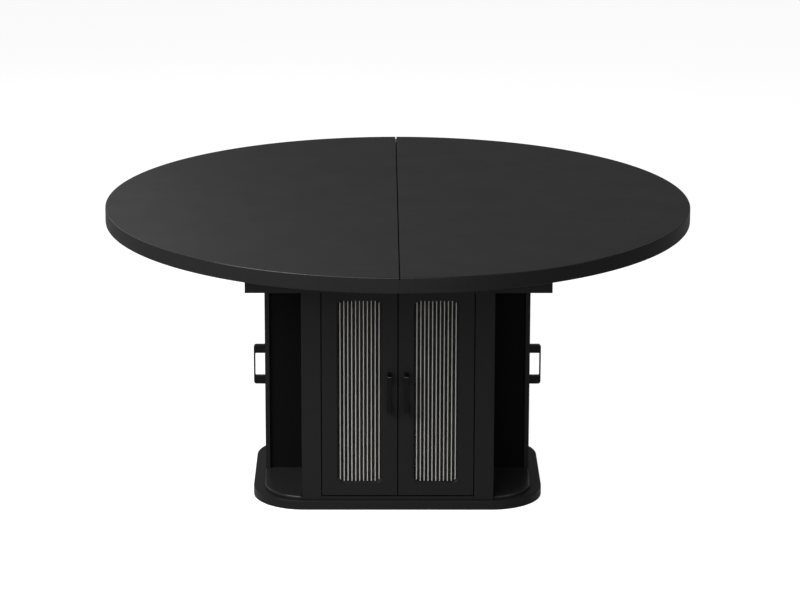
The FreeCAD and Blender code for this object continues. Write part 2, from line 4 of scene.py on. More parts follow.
import bpy
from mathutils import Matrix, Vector


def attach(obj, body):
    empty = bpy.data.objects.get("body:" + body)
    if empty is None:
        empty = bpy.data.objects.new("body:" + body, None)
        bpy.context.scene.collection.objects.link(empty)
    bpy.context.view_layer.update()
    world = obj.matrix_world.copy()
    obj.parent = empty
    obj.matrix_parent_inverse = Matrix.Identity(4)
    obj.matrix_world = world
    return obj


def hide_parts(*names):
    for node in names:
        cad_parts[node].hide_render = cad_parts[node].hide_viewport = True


# The looks of a black extending dining table on a storage cabinet.
# Lengths are in millimetres until mm() turns them to Blender's metres. The studio's are in metres.
# X runs the way the table extends, Y from front (-) to rear (+), Z up from the floor.

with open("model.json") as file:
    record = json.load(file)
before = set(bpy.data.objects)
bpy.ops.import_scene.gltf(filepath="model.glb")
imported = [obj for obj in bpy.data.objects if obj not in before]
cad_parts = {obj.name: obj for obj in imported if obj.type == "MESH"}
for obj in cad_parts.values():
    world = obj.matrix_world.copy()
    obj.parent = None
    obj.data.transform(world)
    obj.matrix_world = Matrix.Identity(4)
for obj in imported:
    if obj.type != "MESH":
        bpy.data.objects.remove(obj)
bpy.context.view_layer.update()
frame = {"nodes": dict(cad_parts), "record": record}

SIDES = {"left": -1, "right": 1}
FACES = {"front": -1, "rear": 1}


def mm(*values):
    """Millimetres to metres, for one length or for a point."""
    return values[0] / 1000 if len(values) == 1 else Vector(values) / 1000


def linear(hex_colour):
    """The linear RGBA colour of an sRGB hex value."""
    channels = [int(hex_colour[i:i + 2], 16) / 255 for i in (1, 3, 5)]
    return [c / 12.92 if c <= 0.04045 else ((c + 0.055) / 1.055) ** 2.4 for c in channels] + [1]


def add(tree, kind, inputs=None, stops=(), **settings):
    """Adds a node. An input that is given as a socket is linked, any other is set as a value.

    The stops of a colour ramp are pairs of a position and an sRGB hex value.
    """
    made = tree.nodes.new(kind)
    for name, value in settings.items():
        setattr(made, name, value)
    for name, value in (inputs or {}).items():
        if isinstance(value, bpy.types.NodeSocket):
            tree.links.new(value, made.inputs[name])
        else:
            made.inputs[name].default_value = value
    for number, (position, hex_colour) in enumerate(stops):
        made.color_ramp.elements[number].position = position
        made.color_ramp.elements[number].color = linear(hex_colour)
    return made


def new_material(name):
    """An empty node material; returns the material and its tree."""
    material = bpy.data.materials.new(name)
    material.use_nodes = True
    material.node_tree.nodes.clear()
    return material, material.node_tree


# Materials
# The marks of each noise are as wide as the length in its scale, and longer along an axis that
# a mapping squeezes.


def make_melamine():
    """Black melamine-faced board, pressed against a fine-grained plate.

    The eye sees a deep, even black with a soft satin sheen. The pressed grain is about 0.3 mm,
    too fine to show, so it is drawn at 1.2 mm. Slow drifts of sheen, 90 mm across, come from
    the press. The grain breaks the gloss up, so the IOR is well under the resin's own 1.5.
    """
    material, tree = new_material("black_melamine")
    place = add(tree, "ShaderNodeTexCoord").outputs["Object"]
    grain = add(tree, "ShaderNodeTexNoise", {
        "Vector": place, "Scale": 1 / mm(1.2), "Detail": 3.0}).outputs["Fac"]
    drift = add(tree, "ShaderNodeTexNoise", {"Vector": place, "Scale": 1 / mm(90)}).outputs["Fac"]
    black = add(tree, "ShaderNodeValToRGB", {"Fac": grain}, ((0.35, "#141414"), (0.65, "#181818")))
    sheen = add(tree, "ShaderNodeMapRange", {"Value": drift, "To Min": 0.39, "To Max": 0.45})
    bump = add(tree, "ShaderNodeBump", {"Height": grain, "Strength": 0.15, "Distance": mm(0.05)})
    surface = add(tree, "ShaderNodeBsdfPrincipled", {
        "Base Color": black.outputs["Color"], "Roughness": sheen.outputs["Result"],
        "Normal": bump.outputs["Normal"], "IOR": 1.2})
    add(tree, "ShaderNodeOutputMaterial", {"Surface": surface.outputs["BSDF"]})
    return material


def make_painted_light_lacquer():
    """Black satin lacquer, sprayed and rubbed down, on the side racks' trays.

    The eye sees a closed black face, a little greyer than the boards beside it, and a bright
    line where the rounded rim catches the lamps. The grey is painted light that brightens the
    trays in the niches' shade. Rubbing leaves drifts of sheen 30 mm across, and spray dust a
    grain drawn at 1 mm.
    """
    material, tree = new_material("satin_lacquer_with_painted_light")
    place = add(tree, "ShaderNodeTexCoord").outputs["Object"]
    dust = add(tree, "ShaderNodeTexNoise", {"Vector": place, "Scale": 1 / mm(1)}).outputs["Fac"]
    drift = add(tree, "ShaderNodeTexNoise", {"Vector": place, "Scale": 1 / mm(30)}).outputs["Fac"]
    # Greyer than the boards' black: painted light on the trays inside the niches
    black = add(tree, "ShaderNodeValToRGB", {"Fac": dust}, ((0.35, "#1e1e1e"), (0.65, "#222222")))
    sheen = add(tree, "ShaderNodeMapRange", {"Value": drift, "To Min": 0.2, "To Max": 0.26})
    bump = add(tree, "ShaderNodeBump", {"Height": dust, "Strength": 0.1, "Distance": mm(0.03)})
    surface = add(tree, "ShaderNodeBsdfPrincipled", {
        "Base Color": black.outputs["Color"], "Roughness": sheen.outputs["Result"],
        "Normal": bump.outputs["Normal"], "IOR": 1.35})
    add(tree, "ShaderNodeOutputMaterial", {"Surface": surface.outputs["BSDF"]})
    return material


def make_painted_shade_black():
    """A deeper, flatter black than the outer boards, on the racks' dividers, the other inner boards
    and the top's seam.

    The black is painted shade: it darkens these boards where the niches and the cabinet's inside
    are in shade. It has a dry grain drawn at 1.5 mm and drifts of sheen 60 mm across.
    """
    material, tree = new_material("matt_black_painted_shade")
    place = add(tree, "ShaderNodeTexCoord").outputs["Object"]
    grain = add(tree, "ShaderNodeTexNoise", {
        "Vector": place, "Scale": 1 / mm(1.5), "Detail": 3.0}).outputs["Fac"]
    drift = add(tree, "ShaderNodeTexNoise", {"Vector": place, "Scale": 1 / mm(60)}).outputs["Fac"]
    # Darker than the melamine's black: painted shade for the recesses where these boards stand
    black = add(tree, "ShaderNodeValToRGB", {"Fac": grain}, ((0.35, "#080808"), (0.65, "#0c0c0c")))
    sheen = add(tree, "ShaderNodeMapRange", {"Value": drift, "To Min": 0.55, "To Max": 0.65})
    bump = add(tree, "ShaderNodeBump", {"Height": grain, "Strength": 0.1, "Distance": mm(0.05)})
    surface = add(tree, "ShaderNodeBsdfPrincipled", {
        "Base Color": black.outputs["Color"], "Roughness": sheen.outputs["Result"],
        "Normal": bump.outputs["Normal"], "IOR": 1.1})
    add(tree, "ShaderNodeOutputMaterial", {"Surface": surface.outputs["BSDF"]})
    return material


def make_edge_band(name, matt, ior):
    """Extruded black ABS edging, 2 mm thick, milled round and scraped.

    The eye sees a slightly closer, more even sheen than on the board's face, with faint
    scraper chatter every 2.5 mm along the edge, in streaks 25 mm tall. The buffed arris at the
    top is less matt and has more gloss, and draws a thin light line along the rim.
    """
    material, tree = new_material(name)
    place = add(tree, "ShaderNodeTexCoord").outputs["Object"]
    upright = add(tree, "ShaderNodeMapping", {"Vector": place, "Scale": (1, 1, 0.1)}).outputs["Vector"]
    chatter = add(tree, "ShaderNodeTexNoise", {
        "Vector": upright, "Scale": 1 / mm(2.5), "Detail": 1.0}).outputs["Fac"]
    black = add(tree, "ShaderNodeValToRGB", {"Fac": chatter}, ((0.3, "#141414"), (0.7, "#171717")))
    sheen = add(tree, "ShaderNodeMapRange", {"Value": chatter, "To Min": matt - 0.08, "To Max": matt})
    bump = add(tree, "ShaderNodeBump", {"Height": chatter, "Strength": 0.1, "Distance": mm(0.05)})
    surface = add(tree, "ShaderNodeBsdfPrincipled", {
        "Base Color": black.outputs["Color"], "Roughness": sheen.outputs["Result"],
        "Normal": bump.outputs["Normal"], "IOR": ior})
    add(tree, "ShaderNodeOutputMaterial", {"Surface": surface.outputs["BSDF"]})
    return material


def make_powder_coat(name, ior):
    """Zinc die casting with a black powder coat.

    The eye sees a darker and smoother black than the doors', with a glint on its bends, where
    hands have polished the coat. The coat's orange peel has bumps 0.8 mm apart.
    """
    material, tree = new_material(name)
    place = add(tree, "ShaderNodeTexCoord").outputs["Object"]
    peel = add(tree, "ShaderNodeTexNoise", {
        "Vector": place, "Scale": 1 / mm(0.8), "Detail": 1.0}).outputs["Fac"]
    black = add(tree, "ShaderNodeValToRGB", {"Fac": peel}, ((0.3, "#040404"), (0.7, "#080808")))
    sheen = add(tree, "ShaderNodeMapRange", {"Value": peel, "To Min": 0.11, "To Max": 0.16})
    bump = add(tree, "ShaderNodeBump", {"Height": peel, "Strength": 0.15, "Distance": mm(0.05)})
    surface = add(tree, "ShaderNodeBsdfPrincipled", {
        "Base Color": black.outputs["Color"], "Roughness": sheen.outputs["Result"],
        "Normal": bump.outputs["Normal"], "IOR": ior})
    add(tree, "ShaderNodeOutputMaterial", {"Surface": surface.outputs["BSDF"]})
    return material


def make_clear_glass():
    """Rolled toughened glass, the sheet between the reeds.

    The eye looks through it to the dark inside of the cabinet. Rolling leaves ripples 40 mm
    wide and 130 mm tall, and the etching bath a thin haze. Its IOR is under glass's 1.5,
    because the real pane shows almost no gloss.
    """
    material, tree = new_material("rolled_glass")
    place = add(tree, "ShaderNodeTexCoord").outputs["Object"]
    upright = add(tree, "ShaderNodeMapping", {"Vector": place, "Scale": (1, 1, 0.3)}).outputs["Vector"]
    ripple = add(tree, "ShaderNodeTexNoise", {
        "Vector": upright, "Scale": 1 / mm(40), "Detail": 1.0}).outputs["Fac"]
    tint = add(tree, "ShaderNodeValToRGB", {"Fac": ripple}, ((0.2, "#5c5f5d"), (0.8, "#686b69")))
    bump = add(tree, "ShaderNodeBump", {"Height": ripple, "Strength": 0.1, "Distance": mm(0.2)})
    surface = add(tree, "ShaderNodeBsdfPrincipled", {
        "Base Color": tint.outputs["Color"], "Roughness": 0.03, "Normal": bump.outputs["Normal"],
        "IOR": 1.16, "Transmission Weight": 0.94})
    add(tree, "ShaderNodeOutputMaterial", {"Surface": surface.outputs["BSDF"]})
    return material


def make_painted_reed_highlight():
    """A painted highlight on the crowns of the pane's reeds: a pale grey that stands in for the
    lamps' reflection on each reed.

    The eye sees pale grey bars, very slightly uneven along their length. Their speckle is drawn
    at 1.5 mm, and their streaks are 6 mm wide.
    """
    material, tree = new_material("painted_reed_crown_highlight")
    place = add(tree, "ShaderNodeTexCoord").outputs["Object"]
    upright = add(tree, "ShaderNodeMapping", {"Vector": place, "Scale": (1, 1, 0.05)}).outputs["Vector"]
    fine_speckle = add(tree, "ShaderNodeTexNoise", {"Vector": place, "Scale": 1 / mm(1.5)}).outputs["Fac"]
    streaks = add(tree, "ShaderNodeTexNoise", {"Vector": upright, "Scale": 1 / mm(6)}).outputs["Fac"]
    both = add(tree, "ShaderNodeMath", {0: fine_speckle, 1: streaks}, operation="ADD")
    mean = add(tree, "ShaderNodeMath", {0: both.outputs[0], 1: 0.5}, operation="MULTIPLY").outputs[0]
    # The pale grey is a painted highlight: it stands in for the lamps' reflection on each crown
    grey = add(tree, "ShaderNodeValToRGB", {"Fac": mean}, ((0.3, "#94928e"), (0.7, "#9a9894")))
    sheen = add(tree, "ShaderNodeMapRange", {"Value": fine_speckle, "To Min": 0.4, "To Max": 0.6})
    bump = add(tree, "ShaderNodeBump", {"Height": fine_speckle, "Strength": 0.05, "Distance": mm(0.05)})
    surface = add(tree, "ShaderNodeBsdfPrincipled", {
        "Base Color": grey.outputs["Color"], "Roughness": sheen.outputs["Result"],
        "Normal": bump.outputs["Normal"], "IOR": 1.3})
    add(tree, "ShaderNodeOutputMaterial", {"Surface": surface.outputs["BSDF"]})
    return material


def make_zinc_steel():
    """Cold-rolled strip steel, zinc plated and passivated.

    The eye sees a cool, bright grey with rolling streaks along X, which are 0.5 mm wide, and
    a slightly cloudy plating.
    """
    material, tree = new_material("zinc_plated_steel")
    place = add(tree, "ShaderNodeTexCoord").outputs["Object"]
    rolled = add(tree, "ShaderNodeMapping", {"Vector": place, "Scale": (0.02, 1, 1)}).outputs["Vector"]
    streaks = add(tree, "ShaderNodeTexNoise", {"Vector": rolled, "Scale": 1 / mm(0.5)}).outputs["Fac"]
    cloud = add(tree, "ShaderNodeTexNoise", {"Vector": place, "Scale": 1 / mm(14)}).outputs["Fac"]
    plating = add(tree, "ShaderNodeValToRGB", {"Fac": cloud}, ((0.3, "#b4b8bc"), (0.7, "#c6c9cb")))
    sheen = add(tree, "ShaderNodeMapRange", {"Value": streaks, "To Min": 0.24, "To Max": 0.4})
    bump = add(tree, "ShaderNodeBump", {"Height": streaks, "Strength": 0.1, "Distance": mm(0.02)})
    surface = add(tree, "ShaderNodeBsdfPrincipled", {
        "Base Color": plating.outputs["Color"], "Metallic": 1.0,
        "Roughness": sheen.outputs["Result"], "Normal": bump.outputs["Normal"]})
    add(tree, "ShaderNodeOutputMaterial", {"Surface": surface.outputs["BSDF"]})
    return material


def make_blackened_steel():
    """Turned steel pins in a black oxide finish.

    The eye sees a near-black metal with turning marks 0.4 mm apart round the pin.
    """
    material, tree = new_material("blackened_steel")
    place = add(tree, "ShaderNodeTexCoord").outputs["Object"]
    turned = add(tree, "ShaderNodeMapping", {"Vector": place, "Scale": (0.1, 0.1, 1)}).outputs["Vector"]
    marks = add(tree, "ShaderNodeTexNoise", {
        "Vector": turned, "Scale": 1 / mm(0.4), "Detail": 1.0}).outputs["Fac"]
    oxide = add(tree, "ShaderNodeValToRGB", {"Fac": marks}, ((0.3, "#141416"), (0.7, "#1c1c1e")))
    sheen = add(tree, "ShaderNodeMapRange", {"Value": marks, "To Min": 0.35, "To Max": 0.5})
    bump = add(tree, "ShaderNodeBump", {"Height": marks, "Strength": 0.1, "Distance": mm(0.02)})
    surface = add(tree, "ShaderNodeBsdfPrincipled", {
        "Base Color": oxide.outputs["Color"], "Metallic": 1.0,
        "Roughness": sheen.outputs["Result"], "Normal": bump.outputs["Normal"]})
    add(tree, "ShaderNodeOutputMaterial", {"Surface": surface.outputs["BSDF"]})
    return material


def make_beech():
    """Planed European beech, not varnished.

    The eye sees pinkish straw wood with growth rings that run along X, and the short brown
    flecks of its rays, 1 mm wide and 6 mm long. The rings are about 3 mm apart, too fine to
    show, so they are drawn 19 mm apart. Planing leaves drifts of sheen 60 mm across.
    """
    material, tree = new_material("planed_beech")
    place = add(tree, "ShaderNodeTexCoord").outputs["Object"]
    trunk = add(tree, "ShaderNodeMapping", {"Vector": place, "Scale": (0.05, 1, 1)}).outputs["Vector"]
    rays = add(tree, "ShaderNodeMapping", {"Vector": place, "Scale": (0.16, 1, 1)}).outputs["Vector"]
    plane = add(tree, "ShaderNodeMapping", {"Vector": place, "Scale": (0.15, 1, 1)}).outputs["Vector"]
    # A wave texture has a ring every 0.314 of its unit, so a unit of 60 mm gives 19 mm
    rings = add(tree, "ShaderNodeTexWave", {
        "Vector": trunk, "Scale": 1 / mm(60), "Distortion": 4.0, "Detail": 2.0},
        bands_direction="Z")
    flecks = add(tree, "ShaderNodeTexNoise", {
        "Vector": rays, "Scale": 1 / mm(1), "Detail": 1.0}).outputs["Fac"]
    drift = add(tree, "ShaderNodeTexNoise", {"Vector": plane, "Scale": 1 / mm(60)}).outputs["Fac"]
    wood = add(tree, "ShaderNodeValToRGB", {"Fac": rings.outputs["Fac"]},
               ((0.2, "#d0a97c"), (0.9, "#c1966a")))
    dark = add(tree, "ShaderNodeMapRange", {"Value": flecks, "From Min": 0.62, "From Max": 0.7})
    flecked = add(tree, "ShaderNodeMix", {
        "Factor": dark.outputs["Result"], "A": wood.outputs["Color"], "B": linear("#8d6440")},
        data_type="RGBA")
    sheen = add(tree, "ShaderNodeMapRange", {"Value": drift, "To Min": 0.55, "To Max": 0.68})
    bump = add(tree, "ShaderNodeBump", {"Height": flecks, "Strength": 0.2, "Distance": mm(0.1)})
    surface = add(tree, "ShaderNodeBsdfPrincipled", {
        "Base Color": flecked.outputs["Result"], "Roughness": sheen.outputs["Result"],
        "Normal": bump.outputs["Normal"], "IOR": 1.5})
    add(tree, "ShaderNodeOutputMaterial", {"Surface": surface.outputs["BSDF"]})
    return material


def make_nylon():
    """Injection moulded natural nylon.

    The eye sees a milky off-white with a soft waxy sheen, a spark-eroded texture of 0.5 mm
    and flow marks 12 mm across.
    """
    material, tree = new_material("moulded_nylon")
    place = add(tree, "ShaderNodeTexCoord").outputs["Object"]
    texture = add(tree, "ShaderNodeTexNoise", {"Vector": place, "Scale": 1 / mm(0.5)}).outputs["Fac"]
    flow = add(tree, "ShaderNodeTexNoise", {"Vector": place, "Scale": 1 / mm(12)}).outputs["Fac"]
    milky = add(tree, "ShaderNodeValToRGB", {"Fac": flow}, ((0.3, "#d9d6cc"), (0.7, "#e3e0d6")))
    sheen = add(tree, "ShaderNodeMapRange", {"Value": texture, "To Min": 0.4, "To Max": 0.5})
    bump = add(tree, "ShaderNodeBump", {"Height": texture, "Strength": 0.15, "Distance": mm(0.05)})
    surface = add(tree, "ShaderNodeBsdfPrincipled", {
        "Base Color": milky.outputs["Color"], "Roughness": sheen.outputs["Result"],
        "Normal": bump.outputs["Normal"], "IOR": 1.53,
        "Subsurface Weight": 0.1, "Subsurface Scale": mm(1)})
    add(tree, "ShaderNodeOutputMaterial", {"Surface": surface.outputs["BSDF"]})
    return material


def make_brass():
    """Die cast brass hinges, tumbled satin.

    The eye sees a soft yellow metal, a little browner in patches of about 8 mm, with tumbling
    marks of 0.4 mm.
    """
    material, tree = new_material("satin_brass")
    place = add(tree, "ShaderNodeTexCoord").outputs["Object"]
    marks = add(tree, "ShaderNodeTexNoise", {"Vector": place, "Scale": 1 / mm(0.4)}).outputs["Fac"]
    patches = add(tree, "ShaderNodeTexNoise", {"Vector": place, "Scale": 1 / mm(8)}).outputs["Fac"]
    yellow = add(tree, "ShaderNodeValToRGB", {"Fac": patches}, ((0.3, "#b8975a"), (0.7, "#cbaa68")))
    sheen = add(tree, "ShaderNodeMapRange", {"Value": marks, "To Min": 0.3, "To Max": 0.42})
    bump = add(tree, "ShaderNodeBump", {"Height": marks, "Strength": 0.1, "Distance": mm(0.03)})
    surface = add(tree, "ShaderNodeBsdfPrincipled", {
        "Base Color": yellow.outputs["Color"], "Metallic": 1.0,
        "Roughness": sheen.outputs["Result"], "Normal": bump.outputs["Normal"]})
    add(tree, "ShaderNodeOutputMaterial", {"Surface": surface.outputs["BSDF"]})
    return material


melamine = make_melamine()
painted_shade_black = make_painted_shade_black()
painted_light_lacquer = make_painted_light_lacquer()
edge_band = make_edge_band("black_abs_edge_band", 0.44, 1.2)
buffed_arris = make_edge_band("buffed_abs_arris", 0.3, 1.37)
powder_coat = make_powder_coat("black_powder_coat", 1.22)
polished_bend = make_powder_coat("polished_powder_coat", 1.35)
clear_glass = make_clear_glass()
painted_reed_highlight = make_painted_reed_highlight()
beech = make_beech()
slot_finish = {
    "black_board": melamine,
    "glass": clear_glass,
    "black_metal": powder_coat,
    "zinc_steel": make_zinc_steel(),
    "beech": beech,
    "nylon": make_nylon(),
    "hinge_brass": make_brass(),
}
slot_of = {part["node"]: part["material_slot"] for part in frame["record"]["subparts"]}
body_of = {name: body for body, names in frame["record"]["behaviour"]["bodies"].items() for name in names}
for name, node in frame["nodes"].items():
    node.data.materials.clear()
    node.data.materials.append(slot_finish[slot_of[name]])
frame["nodes"]["pivot_pins"].data.materials[0] = make_blackened_steel()


# Modelling steps

SAME = 0.01  # places closer than this count as the same place
NEAR = 0.1  # what lies closer than this to a limit counts as within it
PAST = 5  # how far a cutter reaches past the piece that it cuts


def pick(piece):
    """Selects the piece alone and makes it the active one."""
    bpy.ops.object.select_all(action="DESELECT")
    bpy.context.view_layer.objects.active = piece
    piece.select_set(True)


def edit_all(piece):
    """Enters edit mode with the whole piece selected."""
    pick(piece)
    bpy.ops.object.mode_set(mode="EDIT")
    bpy.ops.mesh.select_all(action="SELECT")


def start_box(name, x, y, z):
    """A box between pairs of limits, with its place in its mesh."""
    low = Vector([min(pair) for pair in (x, y, z)])
    high = Vector([max(pair) for pair in (x, y, z)])
    bpy.ops.object.select_all(action="DESELECT")
    bpy.ops.mesh.primitive_cube_add(size=1, location=mm(*(low + high)) / 2)
    made = bpy.context.object
    made.name = name
    made.scale = mm(*(high - low))
    bpy.ops.object.transform_apply(location=True, rotation=True, scale=True)
    return made


def start_rod(name, radius, start, end, vertices=32):
    """A round bar between two points, with its place in its mesh."""
    start, end = Vector(start), Vector(end)
    bpy.ops.object.select_all(action="DESELECT")
    bpy.ops.mesh.primitive_cylinder_add(
        vertices=vertices, radius=mm(radius), depth=mm((end - start).length),
        location=mm(*(start + end)) / 2, rotation=(end - start).to_track_quat("Z", "Y").to_euler())
    made = bpy.context.object
    made.name = name
    bpy.ops.object.transform_apply(location=True, rotation=True, scale=True)
    return made


def round_edges(piece, radius, steps, chosen):
    """Bevels to a radius the edges for which chosen(end, other_end) is true; one step is a chamfer."""
    pick(piece)
    mesh = piece.data
    bpy.context.tool_settings.mesh_select_mode = (False, True, False)
    for group in (mesh.vertices, mesh.edges, mesh.polygons):
        group.foreach_set("select", [False] * len(group))
    for edge in mesh.edges:
        a, b = (mesh.vertices[i].co * 1000 for i in edge.vertices)
        edge.select = bool(chosen(a, b))
    bpy.ops.object.mode_set(mode="EDIT")
    bpy.ops.mesh.bevel(offset=mm(radius), segments=steps, profile=0.5, affect="EDGES")
    bpy.ops.object.mode_set(mode="OBJECT")


def keep_side(piece, place, outwards):
    """Cuts the piece with a plane and keeps what lies on its outward side, closed by a new face."""
    edit_all(piece)
    bpy.ops.mesh.bisect(plane_co=mm(*place), plane_no=outwards, use_fill=True, clear_inner=True)
    bpy.ops.object.mode_set(mode="OBJECT")


def cut(piece, cutter):
    """Subtracts the cutter from the piece and removes the cutter."""
    bpy.context.view_layer.objects.active = piece
    step = piece.modifiers.new("cut", "BOOLEAN")
    step.operation = "DIFFERENCE"
    step.solver = "EXACT"
    step.object = cutter
    bpy.ops.object.modifier_apply(modifier=step.name)
    bpy.data.objects.remove(cutter)


def soften(piece, radius, steps=2):
    """Breaks every edge that turns by more than 50 degrees with a small bevel."""
    bpy.context.view_layer.objects.active = piece
    step = piece.modifiers.new("broken edges", "BEVEL")
    step.width = mm(radius)
    step.segments = steps
    step.limit_method = "ANGLE"
    step.angle_limit = math.radians(50)
    step.use_clamp_overlap = True
    bpy.ops.object.modifier_apply(modifier=step.name)


def smooth(piece):
    """Smooth shading up to 40 degrees, with the flat faces beside rounded edges kept flat."""
    pick(piece)
    bpy.ops.object.shade_smooth_by_angle(angle=math.radians(40))
    step = piece.modifiers.new("flat faces", "WEIGHTED_NORMAL")
    step.keep_sharp = True
    bpy.ops.object.modifier_apply(modifier=step.name)


def dress(piece, node, finish):
    """Gives a finished piece its material, and lets it stand for a node and ride with its body."""
    smooth(piece)
    piece.data.materials.clear()
    piece.data.materials.append(finish)
    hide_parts(node)
    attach(piece, body_of[node])


def refinish(piece, finish, chosen):
    """Gives another finish to the faces for which chosen(centre, normal) is true."""
    piece.data.materials.append(finish)
    for face in piece.data.polygons:
        if chosen(face.center * 1000, face.normal):
            face.material_index = len(piece.data.materials) - 1


def copy_of(piece, name, x=1, y=1):
    """A copy with its own mesh, mirrored across the middle of the table where x or y is -1."""
    pick(piece)
    bpy.ops.object.duplicate()
    made = bpy.context.object
    made.name = name
    made.scale = (x, y, 1)
    bpy.ops.object.transform_apply(location=True, rotation=True, scale=True)
    if x * y < 0:
        edit_all(made)
        bpy.ops.mesh.normals_make_consistent(inside=False)
        bpy.ops.object.mode_set(mode="OBJECT")
    return made


def turned_copy(piece, name, degrees, move):
    """A copy turned about the table's upright middle axis, then moved."""
    made = copy_of(piece, name)
    made.rotation_euler = (0, 0, math.radians(degrees))
    made.location = mm(*move)
    bpy.ops.object.transform_apply(location=True, rotation=True, scale=True)
    return made


def is_upright(a, b):
    return abs(a.x - b.x) < SAME and abs(a.y - b.y) < SAME


def runs_across(a, b):
    return abs(a.y - b.y) < SAME and abs(a.z - b.z) < SAME


def runs_front_to_back(a, b):
    return abs(a.x - b.x) < SAME and abs(a.z - b.z) < SAME


def at_height(a, b, height):
    return abs(a.z - height) < SAME and abs(b.z - height) < SAME


# The top


def make_top_half(side):
    """Half of the round top: board with a 2 mm edge band milled round on both rims.

    Its seam edge is rebated. Its faces get the deeper matt black, partly as the edge's own black
    paint and partly as painted shade that darkens the groove.
    """
    x = SIDES[side]
    radius, bottom, top, band, longest_facet = 762, 723, 762, 2, 60
    half_gap, rebate_width, rebate_depth = 0.2, 1.5, 6
    half = start_rod("table_top_" + side, radius, (0, 0, bottom), (0, 0, top), vertices=256)
    keep_side(half, (x * half_gap, 0, 0), (x, 0, 0))
    cut(half, start_box("rebate", (0, x * rebate_width), (-radius - PAST, radius + PAST),
                        (top - rebate_depth, top + PAST)))

    def on_rim(a, b):
        on_face = at_height(a, b, top) or at_height(a, b, bottom)
        is_facet = abs(a.x - b.x) + abs(a.y - b.y) < longest_facet
        return on_face and is_facet and math.hypot(a.x, a.y) > radius - NEAR

    def on_rebate(a, b):
        return at_height(a, b, top) and max(abs(a.x), abs(b.x)) < rebate_width + NEAR

    def in_band(centre):
        return math.hypot(centre.x, centre.y) > radius - band - NEAR

    round_edges(half, band, 4, on_rim)
    round_edges(half, 0.8, 3, on_rebate)
    dress(half, "top_half_" + side, melamine)
    refinish(half, edge_band, lambda centre, normal: in_band(centre))
    # The seam's faces take the deeper black: painted shade in the groove
    refinish(half, painted_shade_black,
             lambda centre, normal: abs(centre.x) < rebate_width + SAME and not in_band(centre))
    refinish(half, buffed_arris,
             lambda centre, normal: centre.z > top - band + SAME and in_band(centre))


for side in SIDES:
    make_top_half(side)


# Doors with reeded panes, and pulls

DOOR = {"x": (1.1, 196), "back": -234, "front": -252, "z": (37.5, 596.5)}
WINDOW = {"x": 98.55, "z": 317, "half_width": 55.45, "half_height": 243, "corner": 12}
PANE = {"back": -240, "front": -244}
PULL = {"x": 22, "half_width": 6, "reach": 30, "z": 317, "half_height": 54, "bend": 7}
RACK_CAP_FACE = 350  # from the middle of the table to the strip that carries a side rack's pull


def window_block(name, grow, y):
    """A block with the window's rounded outline, in the front right door."""
    half_width, half_height = WINDOW["half_width"] + grow, WINDOW["half_height"] + grow
    block = start_box(name, (WINDOW["x"] - half_width, WINDOW["x"] + half_width), y,
                      (WINDOW["z"] - half_height, WINDOW["z"] + half_height))
    round_edges(block, WINDOW["corner"] + grow, 10, runs_front_to_back)
    return block


def make_door():
    """The front right door: a board with a routed window, and a rebate behind it for the pane."""
    back, front, (bottom, top) = DOOR["back"], DOOR["front"], DOOR["z"]
    rebate_width, pin_x, pin_y, hole_radius, hole_depth = 5, 187, -246, 3.05, 12
    door = start_box("door_front_right_frame", DOOR["x"], (back, front), (bottom, top))
    round_edges(door, 1, 3, lambda a, b: is_upright(a, b) and abs(a.y - front) < SAME)
    cut(door, window_block("window", 0, (back + PAST, front - PAST)))

    def on_window_rim(a, b):
        in_width = abs(a.x - WINDOW["x"]) < WINDOW["half_width"] + NEAR
        in_height = abs(a.z - WINDOW["z"]) < WINDOW["half_height"] + NEAR
        return in_width and in_height and abs(a.y - front) < SAME and abs(b.y - front) < SAME

    round_edges(door, 3, 1, on_window_rim)
    cut(door, window_block("rebate", rebate_width, (back + PAST, PANE["front"])))
    for low, high in ((bottom - PAST, bottom + hole_depth), (top - hole_depth, top + PAST)):
        cut(door, start_rod("pin_hole", hole_radius, (pin_x, pin_y, low), (pin_x, pin_y, high)))
    soften(door, 0.4)
    return door


def make_pane():
    """The glass sheet of the front right door, bonded in the rebate."""
    hidden_edge = 4.5
    return window_block("pane_front_right_sheet", hidden_edge, (PANE["back"], PANE["front"]))


def make_reeds():
    """Eleven reeds on the sheet's outer face, with rounded ends inside the window's outline."""
    count, width, height, margin, stand_off = 11, 5.0, 2.0, 0.3, 0.02
    radius = (width ** 2 / 4 + height ** 2) / (2 * height)
    y = PANE["front"] - height + radius
    pitch = 2 * (WINDOW["half_width"] - margin) / count
    corner = WINDOW["corner"]
    reeds = []
    for number in range(count):
        x = WINDOW["x"] + (number - (count - 1) / 2) * pitch
        into_corner = max(abs(x - WINDOW["x"]) + width / 2 - (WINDOW["half_width"] - corner), 0)
        shorter = corner - math.sqrt(corner ** 2 - into_corner ** 2) + margin
        half = WINDOW["half_height"] - shorter
        tips = (WINDOW["z"] - half, WINDOW["z"] + half)
        reed = start_rod("reed", radius, (x, y, tips[0]), (x, y, tips[1]), vertices=24)
        keep_side(reed, (x, PANE["front"] - stand_off, 0), (0, -1, 0))

        def on_tip(a, b):
            is_proud = max(a.y, b.y) < PANE["front"] - NEAR
            return is_proud and any(at_height(a, b, tip) for tip in tips)

        round_edges(reed, 0.5, 1, on_tip)
        reeds.append(reed)
    pick(reeds[0])
    for reed in reeds:
        reed.select_set(True)
    bpy.ops.object.join()
    reeds[0].name = "pane_front_right_reeds"
    return reeds[0]


